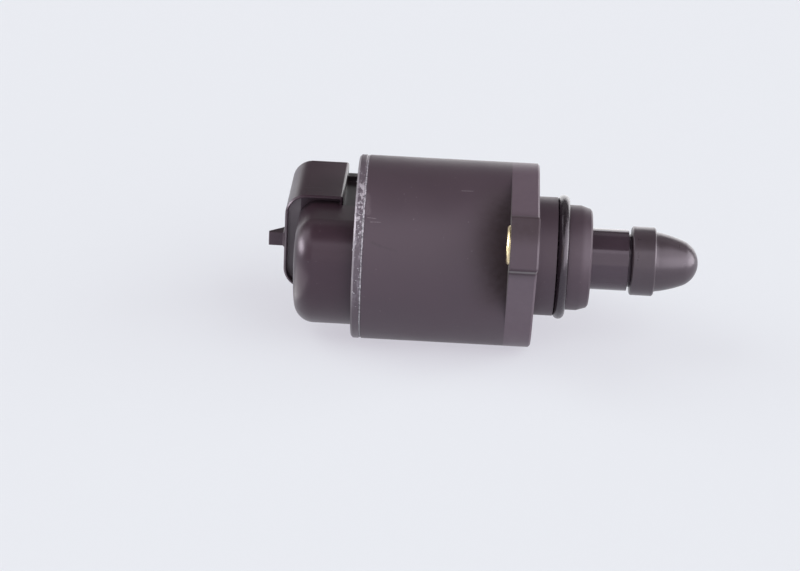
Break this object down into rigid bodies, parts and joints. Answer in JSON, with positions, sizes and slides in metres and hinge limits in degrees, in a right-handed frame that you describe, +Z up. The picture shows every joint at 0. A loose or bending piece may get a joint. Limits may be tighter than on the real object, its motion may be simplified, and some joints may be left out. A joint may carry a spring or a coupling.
{
  "type": "idle air control valve",
  "caption": "Plug-in stepper idle air control valve: round moulded motor body, two-ear flange, sealed pilot, sliding pintle and a side connector hood.",
  "frame": {"origin": "valve axis in the plane of the flange's mounting face, midway between the two bolt holes", "axes": "+X along the valve axis towards the pintle nose, +Z up with the valve lying on its round body and one ear corner"},
  "size_m": [0.082, 0.057, 0.035],
  "materials": {
    "housing_plastic": "satin moulded",
    "cap_plastic": "satin moulded",
    "bush_brass": "turned",
    "seal_rubber": "smooth",
    "stem_plastic": "polished",
    "head_plastic": "turned",
    "screw_steel": "rolled thread",
    "hub_plastic": "moulded",
    "magnet_ferrite": "ground",
    "bearing_bronze": "sintered",
    "washer_steel": "stamped",
    "pole_steel": "zinc plated",
    "bobbin_plastic": "moulded",
    "winding_copper": "enamelled wire",
    "terminal_tin": "tin plated"
  },
  "bodies": {
    "valve_body": {"housing": "housing_plastic", "mount_bush_far": "bush_brass", "mount_bush_near": "bush_brass", "pilot_o_ring": "seal_rubber", "rear_cap": "cap_plastic", "terminal_1": "terminal_tin", "terminal_2": "terminal_tin", "terminal_3": "terminal_tin", "terminal_4": "terminal_tin", "front_pole_cup": "pole_steel", "rear_pole_cup": "pole_steel", "centre_pole_plate": "pole_steel", "front_bobbin": "bobbin_plastic", "front_winding": "winding_copper", "rear_bobbin": "bobbin_plastic", "rear_winding": "winding_copper", "front_bush": "bearing_bronze", "rear_bush": "bearing_bronze", "front_thrust_washer": "washer_steel", "rear_thrust_washer": "washer_steel"},
    "rotor": {"rotor_hub": "hub_plastic", "rotor_magnet": "magnet_ferrite"},
    "pintle": {"lead_screw": "screw_steel", "pintle_stem": "stem_plastic", "pintle_head": "head_plastic"}
  },
  "joints": [
    {"name": "rotor_spin", "type": "hinge", "parent": "valve_body", "child": "rotor", "pos_m": [0, 0, 0], "axis": [1, 0, 0], "range_deg": [-468, 2682]},
    {"name": "pintle_slide", "type": "slide", "parent": "valve_body", "child": "pintle", "axis": [1, 0, 0], "range_m": [-0.00745, 0.0013]}
  ],
  "couplings": [
    {"joint": "pintle_slide", "follows": "rotor_spin", "m_per_rad": -0.00015915}
  ]
}
